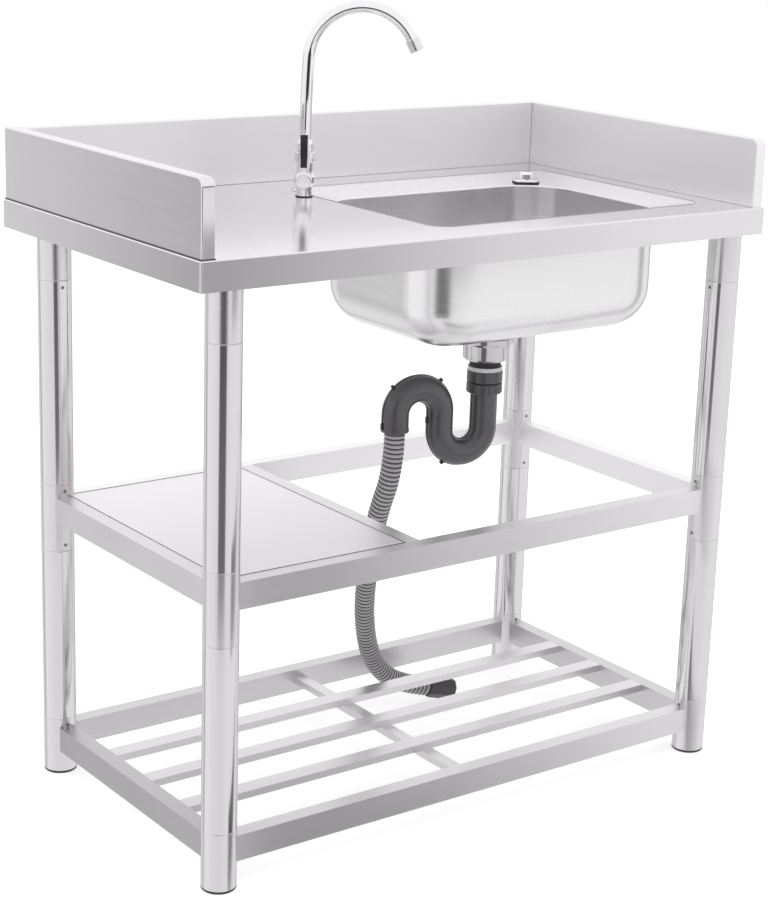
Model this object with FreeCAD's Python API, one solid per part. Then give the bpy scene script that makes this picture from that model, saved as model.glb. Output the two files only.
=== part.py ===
# Stainless-steel sink table on four round legs, with a tap, two shelves, a trap and a waste hose.
# Millimetres. Origin on the floor under the middle of the worktop, +X to the right along the front,
# -Y towards the user, +Z up.
import FreeCAD, Part
import math
import os

V = FreeCAD.Vector
UP = V(0, 0, 1)

# ---------------------------------------------------------------- worktop and splash guards
TOP_WIDTH = 900.0            # worktop, left to right
TOP_DEPTH = 500.0            # worktop, front to back
DECK_HEIGHT = 800.0          # floor to the flat deck
SHEET = 1.2                  # stainless sheet of worktop, guards, panel and basin
SKIRT_HEIGHT = 37.0          # folded front, side and back skirt
EDGE_BEND = 2.0              # outer radius of the skirt's bends
GUARD_HEIGHT = 93.5          # splash guards above the deck
GUARD_THICK = 18.5           # folded box section of a guard
GUARD_INSET = 3.0            # guard's outer face inside the skirt's outer face
GUARD_CORNER = 11.0          # rounded front-top corner of the side guards
GUARD_FOLD = 1.8             # bend radius along the top of a guard

# ---------------------------------------------------------------- well and basin
BASIN_RIGHT_INSET = 105.0    # bowl in from the worktop's right end
BASIN_FRONT_INSET = 66.0     # bowl in from the worktop's front
BASIN_WIDTH = 406.0
BASIN_REACH = 288.0          # bowl, front to back
WELL_MARGIN = 4.0            # sloping well round the bowl, at its left and front
WELL_MARGIN_RIGHT = 49.0
WELL_MARGIN_BACK = 63.0
WELL_CORNER = 26.0
WELL_DROP = 10.0             # how far the well falls from the deck to the basin's rim
BASIN_CORNER = 72.0          # vertical corners of the bowl
BASIN_BOTTOM_BEND = 57.0     # round between the bowl's walls and bottom
BASIN_DEPTH = 161.0          # rim to the flat of the bottom
BASIN_DISH = 13.0            # further fall from the flat to the drain
DISH_RADIUS = 78.0           # where that fall begins
DRAIN_SEAT_RADIUS = 44.0     # flat ring round the drain

# ---------------------------------------------------------------- frame
LEG_RADIUS = 22.5            # legs, sockets and corner sleeves share one outer size
TUBE_WALL = 1.2
LEG_SIDE_INSET = 47.0        # leg axis in from the worktop's side
LEG_FRONT_INSET = 25.0       # leg axis in from the worktop's front
LEG_BACK_INSET = 52.0        # leg axis in from the worktop's back
SOCKET_LENGTH = 64.0         # visible socket below the skirt's lower edge
SPIGOT_LENGTH = 30.0         # how far one tube goes into the next
SPIGOT_WALL = 2.2
SLIDE_FIT = 0.05             # radial clearance of a round piece in its bore
RUN_GAP = 0.4                # gap between faces that move past one another
SEAM_ROUND = 0.7             # rounded tube ends that show as a bright line
MID_SLEEVE_HEIGHT = 94.0
MID_SLEEVE_TOP = 420.0
LOW_SLEEVE_TOP = 81.0
FOOT_HEIGHT = 3.5            # plastic ring below the lowest sleeve
FOOT_INSERT = 24.0           # plug that is pushed up into the sleeve
SOCKET_PLATE = 58.0          # square plate that carries a socket under the deck
PLATE_THICK = 3.0
SCREW_RADIUS = 2.5           # grub screws that lock the tubes
SCREW_LENGTH = 6.0
SCREW_PROUD = 0.3
SCREW_DROP = 9.0             # screw below the seam it locks
SCREW_HEX = 2.5              # hex socket across flats

# ---------------------------------------------------------------- shelves
RAIL_WIDTH = 22.0            # rectangular tube of the shelf rails
RAIL_TALL = 35.0
MID_RAIL_TOP = 402.0
LOW_RAIL_TOP = 69.0
MID_BAR_X = -110.0           # cross bar between the panel's bay and the open bay
PANEL_LIP = 16.0             # folded edge under the shelf panel
BAR_WIDTH = 25.0             # long bars of the lower shelf
BAR_TALL = 10.0
BAR_PLACES = (67.0, -27.0, -121.0)
LOW_CROSS_X = -10.0
LOW_CROSS_WIDTH = 18.0
LOW_CROSS_TALL = 10.0

# ---------------------------------------------------------------- tap
TAP_FROM_BOWL = 16.2         # tap's axis left of the bowl
TAP_FROM_BACK = 151.7        # tap's axis in from the worktop's back
TAP_TURN = -36.0             # direction of the spout from +X, in degrees
GASKET_THICK = 1.5
TAP_BODY_RADIUS = 11.0
TAP_FLARE_RADIUS = 14.5
HUB_HEIGHT = 26.0            # hub axis above the deck
HUB_RADIUS = 11.5
HUB_REACH = 25.0             # hub's open end from the tap's axis
CARTRIDGE_RADIUS = 8.5
STEM_RADIUS = 3.0
STEM_LENGTH = 6.0            # how far the cartridge's stem goes into the lever
COLLAR_RADIUS = 14.0
COLLAR_LOW = 47.0            # swivel collar above the deck
COLLAR_TALL = 14.0
TAP_NECK_RADIUS = 9.6        # neck that the collar is screwed over
NECK_TALL = 7.0
SPOUT_RADIUS = 8.0
SPOUT_WALL = 1.2
SPOUT_SLEEVE_TALL = 16.0
SPOUT_TAIL = 10.0            # spout's bearing inside the body below the collar
ARCH_RADIUS = 72.0
SPOUT_LEAN = 2.8             # how far the riser leans where the arch begins, in degrees
ARCH_HEIGHT = 186.0          # beginning of the arch above the deck
ARCH_SWEEP = 153.0           # final direction of the spout from upright
SPOUT_TIP = 6.0
AERATOR_RADIUS = 9.5
AERATOR_LENGTH = 17.0
LEVER_CAP_LENGTH = 9.0
LEVER_WIDTH = 12.0
LEVER_THICK = 5.0
LEVER_RISE = 61.0            # lever's tip above the hub axis
SHANK_RADIUS = 9.0
SHANK_LENGTH = 14.0          # below the deck's top face
INLET_RADIUS = 8.0           # tail for the supply hose, below the shank
INLET_LENGTH = 28.0
SHANK_BORE = 6.0
CARTRIDGE_LENGTH = 16.0
TAP_HOLE_CLEARANCE = 0.4
NUT_ACROSS_FLATS = 23.0
NUT_THICK = 8.0
THREAD_FIT = 0.05

# ---------------------------------------------------------------- spare hole
CAP_FROM_RIGHT = 21.0        # cap's axis left of the bowl's right side
CAP_FROM_BACK = 7.0          # cap's axis behind the bowl
CAP_FLANGE_RADIUS = 19.5
CAP_FLANGE_TALL = 3.0
CAP_KNOB_RADIUS = 12.5
CAP_KNOB_TALL = 11.0
CAP_STUD_RADIUS = 8.0
CAP_STUD_LENGTH = 26.0
CAP_LIFT = 2.2               # rubber between the cap and the middle of its sloping seat
CAP_NUT_RADIUS = 17.0
CAP_NUT_THICK = 7.0
CAP_NUT_SINK = 2.0           # countersink that keeps the nut out of the sloping hole

# ---------------------------------------------------------------- waste
DRAIN_LEFT = 9.0             # drain's axis left of the bowl's middle
DRAIN_FORWARD = 8.0          # drain's axis in front of the bowl's middle
DRAIN_HOLE_RADIUS = 33.0
DRAIN_FLANGE_RADIUS = 43.0
DRAIN_FLANGE_TALL = 2.0
CUP_RADIUS = 32.0
CUP_WALL = 1.6
CUP_TALL = 36.7              # strainer cup below its seat in the bowl
UNDER_GASKET = 2.5
LOCK_RING_RADIUS = 38.5
LOCK_RING_TALL = 10.0
NECK_RADIUS = 19.0           # outlet neck, of the same outer size as the trap's pipe
NECK_BORE = 16.0
NECK_LENGTH = 27.7           # outlet neck below the cup
SEAL_RADIUS = 21.8
SEAL_TALL = 9.5
WASHER_RADIUS = 24.0
WASHER_TALL = 5.6
SLIP_NUT_RADIUS = 25.0
UPPER_NUT_TALL = 16.6
NUT_GAP = 1.0                # dark joint between the two slip nuts
LOWER_NUT_TALL = 14.3
BASKET_RADIUS = 29.5
BASKET_DEPTH = 24.0
BASKET_KNOB_RADIUS = 7.0
TRAP_RADIUS = NECK_RADIUS
TRAP_WALL = 2.5
TRAP_BEND = 34.3             # centre-line radius of both bends
TRAP_TURN = 170.0            # direction of the trap's limbs from the inlet, in degrees
INLET_LIMB = 68.0            # straight limb down to the lower bend
MIDDLE_LIMB = 27.8           # straight limb between the two bends
OUTLET_LIMB = 23.8           # straight limb down from the upper bend
OUTLET_LIP = 3.0
OUTLET_BEAD_RADIUS = 19.7    # slightly wider end of the trap
OUTLET_BEAD_TALL = 5.0

# ---------------------------------------------------------------- hose
HOSE_CREST = 14.5
HOSE_ROOT = 13.1
HOSE_BORE = 12.0
RIB_PITCH = 6.5
RIB_MARGIN = 3.0             # bare hose at each end
ARC_SHARE = 0.45             # part of the shorter run that an arc takes
FITTING_FLATS = 31.0
FITTING_LENGTH = 44.0
FITTING_BORE = 11.5
HOSE_FIRST_RUN = 54.0        # straight down from the trap's outlet
HOSE_ROUTE = (
    (-4.5, 28.0, -72.4),
    (13.5, 34.0, -72.0),
    (17.5, 35.0, -85.0),
    (20.5, 22.0, -59.0),
    (20.0, 14.0, -42.5),
    (24.8, 8.5, -33.4),
    (39.5, 2.5, -30.5),
    (47.7, -8.0, -12.0),
)                            # then run after run to the end fitting

# ---------------------------------------------------------------- values that follow
HALF_WIDTH = TOP_WIDTH / 2
HALF_DEPTH = TOP_DEPTH / 2
DECK_UNDER = DECK_HEIGHT - SHEET
SKIRT_LOW = DECK_HEIGHT - SKIRT_HEIGHT
SOCKET_LOW = SKIRT_LOW - SOCKET_LENGTH
MID_SLEEVE_LOW = MID_SLEEVE_TOP - MID_SLEEVE_HEIGHT
LEG_X = HALF_WIDTH - LEG_SIDE_INSET
LEG_FRONT_Y = -HALF_DEPTH + LEG_FRONT_INSET
LEG_BACK_Y = HALF_DEPTH - LEG_BACK_INSET
LEGS = {
    "front_left": (-LEG_X, LEG_FRONT_Y),
    "front_right": (LEG_X, LEG_FRONT_Y),
    "back_left": (-LEG_X, LEG_BACK_Y),
    "back_right": (LEG_X, LEG_BACK_Y),
}
SPIGOT_RADIUS = LEG_RADIUS - TUBE_WALL - SLIDE_FIT
RAIL_HALF = RAIL_WIDTH / 2
BASIN_RIGHT = HALF_WIDTH - BASIN_RIGHT_INSET
BASIN_LEFT = BASIN_RIGHT - BASIN_WIDTH
BASIN_FRONT = -HALF_DEPTH + BASIN_FRONT_INSET
BASIN_BACK = BASIN_FRONT + BASIN_REACH
WELL_LEFT = BASIN_LEFT - WELL_MARGIN
WELL_RIGHT = BASIN_RIGHT + WELL_MARGIN_RIGHT
WELL_FRONT = BASIN_FRONT - WELL_MARGIN
WELL_BACK = BASIN_BACK + WELL_MARGIN_BACK
TAP_X = BASIN_LEFT - TAP_FROM_BOWL
TAP_Y = HALF_DEPTH - TAP_FROM_BACK
CAP_X = BASIN_RIGHT - CAP_FROM_RIGHT
CAP_Y = BASIN_BACK + CAP_FROM_BACK
DRAIN_X = (BASIN_LEFT + BASIN_RIGHT) / 2 - DRAIN_LEFT
DRAIN_Y = (BASIN_FRONT + BASIN_BACK) / 2 - DRAIN_FORWARD
RIM_HEIGHT = DECK_HEIGHT - WELL_DROP
BOWL_UNDER = RIM_HEIGHT - BASIN_DEPTH
DRAIN_SEAT_UNDER = BOWL_UNDER - BASIN_DISH
CUP_BOTTOM = DRAIN_SEAT_UNDER + SHEET - CUP_TALL
TRAP_TOP = CUP_BOTTOM - NECK_LENGTH - RUN_GAP
TRAP_LOW = TRAP_TOP - INLET_LIMB
TRAP_HIGH = TRAP_LOW + MIDDLE_LIMB
TRAP_OUTLET = TRAP_HIGH - OUTLET_LIMB

os.makedirs("parts", exist_ok=True)


# ---------------------------------------------------------------- helpers
def save(name, shape):
    """Write one node, after checking that it is a set of closed solids."""
    if not shape.isValid():
        print("INVALID", name)
    if len(shape.Solids) == 1:
        shape = shape.Solids[0]
    shape.exportStep("parts/" + name + ".step")
    print("%-26s solids %2d  volume %10.1f" % (name, len(shape.Solids), shape.Volume))


def box(x0, x1, y0, y1, z0, z1):
    return Part.makeBox(x1 - x0, y1 - y0, z1 - z0, V(x0, y0, z0))


def rod(radius, z0, z1, x, y):
    return Part.makeCylinder(radius, z1 - z0, V(x, y, z0))


def ring(outer, inner, z0, z1, x, y):
    return rod(outer, z0, z1, x, y).cut(rod(inner, z0 - 1, z1 + 1, x, y))


def turned(profile, x, y):
    """Solid of revolution about a vertical axis from (radius, height) points."""
    points = [V(x + r, y, z) for r, z in profile]
    face = Part.Face(Part.makePolygon(points + points[:1]))
    return face.revolve(V(x, y, 0), UP, 360)


def lying_rod(radius, start, end):
    return Part.makeCylinder(radius, (end - start).Length, start, end - start)


def direction(degrees):
    return V(math.cos(math.radians(degrees)), math.sin(math.radians(degrees)), 0)


def prism(sides, across_flats, z0, z1, x, y):
    """Upright prism with an even number of sides."""
    corner = across_flats / 2 / math.cos(math.pi / sides)
    points = []
    for k in range(sides + 1):
        angle = math.pi * (2 * k + 1) / sides
        points.append(V(x + corner * math.cos(angle), y + corner * math.sin(angle), z0))
    return Part.Face(Part.makePolygon(points)).extrude(V(0, 0, z1 - z0))


def round_outline(x0, x1, y0, y1, radius, z):
    """Rectangle with round corners, as one wire at height z."""
    centres = ((x1 - radius, y1 - radius), (x0 + radius, y1 - radius),
               (x0 + radius, y0 + radius), (x1 - radius, y0 + radius))
    edges = []
    for k, (cx, cy) in enumerate(centres):
        edges.append(Part.Edge(Part.Circle(V(cx, cy, z), UP, radius), k * math.pi / 2, (k + 1) * math.pi / 2))
        nx, ny = centres[(k + 1) % 4]
        turn = (k + 1) * math.pi / 2
        offset = V(radius * math.cos(turn), radius * math.sin(turn), z)
        edges.append(Part.makeLine(V(cx, cy, 0) + offset, V(nx, ny, 0) + offset))
    return Part.Wire(edges)


def round_end(shape, z, radius):
    """Round the outer circular edges of a tube that lie at height z."""
    edges = []
    for edge in shape.Edges:
        curve = edge.Curve
        if not isinstance(curve, Part.Circle):
            continue
        if abs(curve.Center.z - z) < 0.01 and abs(curve.Radius - LEG_RADIUS) < 0.01:
            edges.append(edge)
    return shape.makeFillet(radius, edges)


# ---------------------------------------------------------------- worktop
def well_body(top, low):
    """Sloping funnel between the well's outline at one height and the basin's outline at another."""
    outer = round_outline(WELL_LEFT, WELL_RIGHT, WELL_FRONT, WELL_BACK, WELL_CORNER, top)
    inner = round_outline(BASIN_LEFT, BASIN_RIGHT, BASIN_FRONT, BASIN_BACK, BASIN_CORNER, low)
    return Part.makeLoft([outer, inner], True, True)


def basin_prism(z0, z1, inset=0.0):
    outline = round_outline(BASIN_LEFT + inset, BASIN_RIGHT - inset, BASIN_FRONT + inset,
                            BASIN_BACK - inset, BASIN_CORNER - inset, z0)
    return Part.Face(outline).extrude(V(0, 0, z1 - z0))


def top_edges(shape, z):
    """Straight edges that lie flat at height z on the outside of a shape."""
    found = []
    for edge in shape.Edges:
        ends = [vertex.Point.z for vertex in edge.Vertexes]
        if len(ends) == 2 and all(abs(height - z) < 0.01 for height in ends):
            found.append(edge)
    return found


def upright_edges(shape):
    return [e for e in shape.Edges if abs(e.Vertexes[0].Z - e.Vertexes[-1].Z) > SKIRT_HEIGHT / 2]


def make_worktop():
    shell = box(-HALF_WIDTH, HALF_WIDTH, -HALF_DEPTH, HALF_DEPTH, SKIRT_LOW, DECK_HEIGHT)
    shell = shell.makeFillet(EDGE_BEND, top_edges(shell, DECK_HEIGHT) + upright_edges(shell))
    hollow = box(-HALF_WIDTH + SHEET, HALF_WIDTH - SHEET, -HALF_DEPTH + SHEET, HALF_DEPTH - SHEET,
                 SKIRT_LOW - 1, DECK_UNDER)
    hollow = hollow.makeFillet(EDGE_BEND - SHEET, top_edges(hollow, DECK_UNDER) + upright_edges(hollow))
    shell = shell.cut(hollow)
    pocket = well_body(DECK_HEIGHT, RIM_HEIGHT)
    slope = well_body(DECK_UNDER, RIM_HEIGHT - SHEET).cut(pocket)
    slope = slope.cut(basin_prism(RIM_HEIGHT - 2 * SHEET, DECK_HEIGHT))
    top = shell.cut(pocket).fuse(slope)
    tap_hole = rod(SHANK_RADIUS + TAP_HOLE_CLEARANCE, SKIRT_LOW, DECK_HEIGHT + 1, TAP_X, TAP_Y)
    spare_hole = rod(CAP_STUD_RADIUS + TAP_HOLE_CLEARANCE, SKIRT_LOW, DECK_HEIGHT + 1, CAP_X, CAP_Y)
    return top.cut(tap_hole).cut(spare_hole).removeSplitter()


def make_side_guard(side):
    """Folded box section with a rounded front-top corner; side is -1 for left, 1 for right."""
    outer_x = side * (HALF_WIDTH - GUARD_INSET)
    inner_x = outer_x - side * GUARD_THICK
    low_x, high_x = sorted((outer_x, inner_x))
    front = -HALF_DEPTH + GUARD_INSET
    back = HALF_DEPTH - GUARD_INSET
    top = DECK_HEIGHT + GUARD_HEIGHT

    def slab(inset, low):
        x0 = low_x + inset
        x1 = high_x - inset
        y0 = front + inset
        y1 = back - inset
        z1 = top - inset
        corner = GUARD_CORNER - inset
        middle = V(x0, y0 + corner * (1 - math.sqrt(0.5)), z1 - corner * (1 - math.sqrt(0.5)))
        edges = [
            Part.makeLine(V(x0, y0, low), V(x0, y0, z1 - corner)),
            Part.Arc(V(x0, y0, z1 - corner), middle, V(x0, y0 + corner, z1)).toShape(),
            Part.makeLine(V(x0, y0 + corner, z1), V(x0, y1, z1)),
            Part.makeLine(V(x0, y1, z1), V(x0, y1, low)),
            Part.makeLine(V(x0, y1, low), V(x0, y0, low)),
        ]
        return Part.Face(Part.Wire(edges)).extrude(V(x1 - x0, 0, 0))

    body = slab(0.0, DECK_HEIGHT)
    long_edges = [e for e in top_edges(body, top) if abs(e.Vertexes[0].Y - e.Vertexes[1].Y) > GUARD_THICK]
    body = body.makeFillet(GUARD_FOLD, long_edges)
    return body.cut(slab(SHEET, DECK_HEIGHT - 1))


def make_back_guard():
    half = HALF_WIDTH - GUARD_INSET - GUARD_THICK
    back = HALF_DEPTH - GUARD_INSET
    top = DECK_HEIGHT + GUARD_HEIGHT
    body = box(-half, half, back - GUARD_THICK, back, DECK_HEIGHT, top)
    long_edges = [e for e in top_edges(body, top) if abs(e.Vertexes[0].X - e.Vertexes[1].X) > GUARD_THICK]
    body = body.makeFillet(GUARD_FOLD, long_edges)
    return body.cut(box(-half + SHEET, half - SHEET, back - GUARD_THICK + SHEET, back - SHEET,
                        DECK_HEIGHT - 1, top - SHEET))


def make_basin():
    """Bowl hung from the well's rim, with a dished bottom and the drain hole."""
    def bowl(inset, lift):
        under = BOWL_UNDER + lift
        body = basin_prism(under, RIM_HEIGHT, inset)
        body = body.makeFillet(BASIN_BOTTOM_BEND - inset, top_edges(body, under))
        dish = turned(((0, under + SHEET), (DISH_RADIUS, under + SHEET), (DISH_RADIUS, under),
                       (DRAIN_SEAT_RADIUS, under - BASIN_DISH), (0, under - BASIN_DISH)), DRAIN_X, DRAIN_Y)
        return body.fuse(dish)

    shell = bowl(0.0, 0.0).cut(bowl(SHEET, SHEET))
    hole = rod(DRAIN_HOLE_RADIUS, DRAIN_SEAT_UNDER - 1, BOWL_UNDER + 1, DRAIN_X, DRAIN_Y)
    return shell.cut(hole).removeSplitter()


# ---------------------------------------------------------------- legs
def screw_direction(corner):
    """Grub screws face along the front rail on front legs and forwards on back legs."""
    if corner.startswith("back"):
        return V(0, -1, 0)
    return V(-1, 0, 0) if corner.endswith("right") else V(1, 0, 0)


def screw_heights():
    return (SOCKET_LOW - SCREW_DROP, MID_SLEEVE_TOP - SCREW_DROP,
            MID_SLEEVE_LOW + SCREW_DROP, LOW_SLEEVE_TOP - SCREW_DROP)


def screw_holes(corner):
    x, y = LEGS[corner]
    holes = []
    for z in screw_heights():
        centre = V(x, y, z)
        beyond = centre + screw_direction(corner) * 2 * LEG_RADIUS
        holes.append(lying_rod(SCREW_RADIUS + SLIDE_FIT, centre, beyond))
    return Part.makeCompound(holes)


def make_socket(corner):
    """Tube welded under the deck, with a spigot for the leg and a plate that stays inside the skirt."""
    x, y = LEGS[corner]
    tube = ring(LEG_RADIUS, SPIGOT_RADIUS - SPIGOT_WALL, SOCKET_LOW, DECK_UNDER - PLATE_THICK, x, y)
    tube = round_end(tube, SOCKET_LOW, SEAM_ROUND)
    spigot = ring(SPIGOT_RADIUS, SPIGOT_RADIUS - SPIGOT_WALL, SOCKET_LOW - SPIGOT_LENGTH, SOCKET_LOW, x, y)
    half = SOCKET_PLATE / 2
    plate = box(x - half, x + half, y - half, y + half, DECK_UNDER - PLATE_THICK, DECK_UNDER)
    room = box(-HALF_WIDTH + EDGE_BEND, HALF_WIDTH - EDGE_BEND, -HALF_DEPTH + EDGE_BEND,
               HALF_DEPTH - EDGE_BEND, SKIRT_LOW, DECK_UNDER)
    return tube.fuse(spigot).fuse(plate.common(room)).cut(screw_holes(corner)).removeSplitter()


def leg_tube(corner, low, high, low_spigot, high_spigot):
    """Leg tube whose drawn-in ends go into the sleeves."""
    x, y = LEGS[corner]
    tube = ring(LEG_RADIUS, LEG_RADIUS - TUBE_WALL, low, high, x, y)
    tube = round_end(tube, low, SEAM_ROUND)
    tube = round_end(tube, high, SEAM_ROUND)
    inner = SPIGOT_RADIUS - SPIGOT_WALL
    if low_spigot:
        end = ring(SPIGOT_RADIUS, inner, low - SPIGOT_LENGTH, low, x, y)
        shoulder = ring(LEG_RADIUS - TUBE_WALL, inner, low, low + SPIGOT_WALL, x, y)
        tube = tube.fuse(end).fuse(shoulder)
    if high_spigot:
        end = ring(SPIGOT_RADIUS, inner, high, high + SPIGOT_LENGTH, x, y)
        shoulder = ring(LEG_RADIUS - TUBE_WALL, inner, high - SPIGOT_WALL, high, x, y)
        tube = tube.fuse(end).fuse(shoulder)
    return tube.cut(screw_holes(corner)).removeSplitter()


def make_sleeve(corner, low, high):
    x, y = LEGS[corner]
    tube = ring(LEG_RADIUS, LEG_RADIUS - TUBE_WALL, low, high, x, y)
    tube = round_end(tube, low, SEAM_ROUND)
    tube = round_end(tube, high, SEAM_ROUND)
    return tube.cut(screw_holes(corner))


def make_feet():
    """Four push-in plastic feet."""
    inner = LEG_RADIUS - TUBE_WALL - SLIDE_FIT
    feet = []
    for x, y in LEGS.values():
        feet.append(turned(((0, 0), (LEG_RADIUS - 1.5, 0), (LEG_RADIUS, 1.5), (LEG_RADIUS, FOOT_HEIGHT),
                            (inner, FOOT_HEIGHT), (inner, FOOT_INSERT), (inner - 3, FOOT_INSERT),
                            (inner - 3, FOOT_HEIGHT + 3), (0, FOOT_HEIGHT + 3)), x, y))
    return Part.makeCompound(feet)


def make_set_screws():
    """Grub screws with hex sockets, one at each tube joint."""
    screws = []
    corner_radius = SCREW_HEX / 2 / math.cos(math.pi / 6)
    for corner, (x, y) in LEGS.items():
        out = screw_direction(corner)
        across = V(-out.y, out.x, 0)
        for z in screw_heights():
            tip = V(x, y, z) + out * (LEG_RADIUS + SCREW_PROUD)
            body = lying_rod(SCREW_RADIUS, tip - out * SCREW_LENGTH, tip)
            points = []
            for k in range(7):
                angle = k * math.pi / 3
                spread = across * corner_radius * math.cos(angle) + UP * corner_radius * math.sin(angle)
                points.append(tip + out * 0.1 + spread)
            socket = Part.Face(Part.makePolygon(points)).extrude(out * -2.5)
            screws.append(body.cut(socket))
    return Part.makeCompound(screws)


# ---------------------------------------------------------------- shelves
def hollow_bar(x0, x1, y0, y1, z0, z1, along):
    """Rectangular tube along x or y, open at its ends."""
    wall = TUBE_WALL
    body = box(x0, x1, y0, y1, z0, z1)
    if along == "x":
        return body.cut(box(x0 - 1, x1 + 1, y0 + wall, y1 - wall, z0 + wall, z1 - wall))
    return body.cut(box(x0 + wall, x1 - wall, y0 - 1, y1 + 1, z0 + wall, z1 - wall))


def leg_columns():
    return Part.makeCompound([rod(LEG_RADIUS, 0, DECK_UNDER, x, y) for x, y in LEGS.values()])


def make_rail(place, top):
    """Rail between two sleeves, coped to their round."""
    low = top - RAIL_TALL
    if place in ("front", "back"):
        y = LEG_FRONT_Y if place == "front" else LEG_BACK_Y
        rail = hollow_bar(-LEG_X, LEG_X, y - RAIL_HALF, y + RAIL_HALF, low, top, "x")
    else:
        x = -LEG_X if place == "left" else LEG_X
        rail = hollow_bar(x - RAIL_HALF, x + RAIL_HALF, LEG_FRONT_Y, LEG_BACK_Y, low, top, "y")
    return rail.cut(leg_columns())


def make_panel():
    """Shelf panel over the left bay, folded down at its four edges."""
    x0 = -LEG_X + RAIL_HALF
    x1 = MID_BAR_X - RAIL_HALF
    y0 = LEG_FRONT_Y + RAIL_HALF
    y1 = LEG_BACK_Y - RAIL_HALF
    low = MID_RAIL_TOP - PANEL_LIP
    tray = box(x0, x1, y0, y1, low, MID_RAIL_TOP)
    tray = tray.cut(box(x0 + SHEET, x1 - SHEET, y0 + SHEET, y1 - SHEET, low - 1, MID_RAIL_TOP - SHEET))
    return tray.cut(leg_columns())


# ---------------------------------------------------------------- tap
def make_tap_body(hub_way):
    """Body with its flared hub, threaded shank and the bore that the spout turns in."""
    deck = DECK_HEIGHT + GASKET_THICK
    hub = DECK_HEIGHT + HUB_HEIGHT
    flare = 7.0
    collar = DECK_HEIGHT + COLLAR_LOW
    top = collar + NECK_TALL
    shank_end = DECK_HEIGHT - SHANK_LENGTH
    inlet_end = shank_end - INLET_LENGTH
    profile = (
        (0, inlet_end), (INLET_RADIUS, inlet_end), (INLET_RADIUS, shank_end), (SHANK_RADIUS, shank_end),
        (SHANK_RADIUS, deck), (TAP_BODY_RADIUS, deck),
        (TAP_BODY_RADIUS, hub - flare - 5), (TAP_FLARE_RADIUS, hub - flare), (TAP_FLARE_RADIUS, hub + 1),
        (TAP_BODY_RADIUS, hub + flare), (TAP_BODY_RADIUS, collar), (TAP_NECK_RADIUS, collar),
        (TAP_NECK_RADIUS, top), (0, top),
    )
    body = turned(profile, TAP_X, TAP_Y)
    centre = V(TAP_X, TAP_Y, hub)
    body = body.fuse(lying_rod(HUB_RADIUS, centre, centre + hub_way * HUB_REACH))
    bearing = rod(SPOUT_RADIUS + SLIDE_FIT, collar - SPOUT_TAIL - RUN_GAP, top + 1, TAP_X, TAP_Y)
    water_way = rod(SHANK_BORE, inlet_end - 1, collar, TAP_X, TAP_Y)
    seat = lying_rod(CARTRIDGE_RADIUS + SLIDE_FIT, centre + hub_way * (HUB_REACH - CARTRIDGE_LENGTH),
                     centre + hub_way * (HUB_REACH + 1))
    return body.cut(bearing).cut(water_way).cut(seat)


def make_cartridge(hub_way):
    hub = V(TAP_X, TAP_Y, DECK_HEIGHT + HUB_HEIGHT)
    mouth = hub + hub_way * HUB_REACH
    barrel = lying_rod(CARTRIDGE_RADIUS, mouth - hub_way * CARTRIDGE_LENGTH, mouth)
    stem = lying_rod(STEM_RADIUS, mouth - hub_way, mouth + hub_way * STEM_LENGTH)
    return barrel.fuse(stem)


def make_lever(hub_way):
    """Round cap on the cartridge stem and the flat blade that stands up from it."""
    hub = V(TAP_X, TAP_Y, DECK_HEIGHT + HUB_HEIGHT)
    inner = hub + hub_way * (HUB_REACH + RUN_GAP)
    outer = hub + hub_way * (HUB_REACH + LEVER_CAP_LENGTH)
    cap = lying_rod(HUB_RADIUS, inner, outer)
    outer_edges = [e for e in cap.Edges
                   if isinstance(e.Curve, Part.Circle) and e.Curve.Center.isEqual(outer, 0.01)]
    cap = cap.makeFillet(3.0, outer_edges)
    across = V(-hub_way.y, hub_way.x, 0)
    half = LEVER_WIDTH / 2
    root = outer - hub_way * (LEVER_THICK + 1)
    corners = (root - across * half, root + across * half,
               root + across * half + UP * LEVER_RISE, root - across * half + UP * LEVER_RISE)
    blade = Part.Face(Part.makePolygon(corners + corners[:1])).extrude(hub_way * LEVER_THICK)
    rising = [e for e in blade.Edges if e.Length > LEVER_RISE - 1]
    blade = blade.makeFillet(1.2, rising)
    bore_end = hub + hub_way * (HUB_REACH + STEM_LENGTH + RUN_GAP)
    bore = lying_rod(STEM_RADIUS + SLIDE_FIT, inner - hub_way, bore_end)
    return cap.fuse(blade).cut(bore)


def make_collar():
    """Swivel collar that is screwed over the body's top and holds the spout in."""
    low = DECK_HEIGHT + COLLAR_LOW
    top = low + COLLAR_TALL
    step = low + NECK_TALL + THREAD_FIT
    thread = TAP_NECK_RADIUS + THREAD_FIT
    bore = SPOUT_RADIUS + SLIDE_FIT
    return turned(((thread, low), (COLLAR_RADIUS - 1, low), (COLLAR_RADIUS, low + 1),
                   (COLLAR_RADIUS, top - 1), (COLLAR_RADIUS - 1, top), (bore, top), (bore, step),
                   (thread, step)), TAP_X, TAP_Y)


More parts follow.
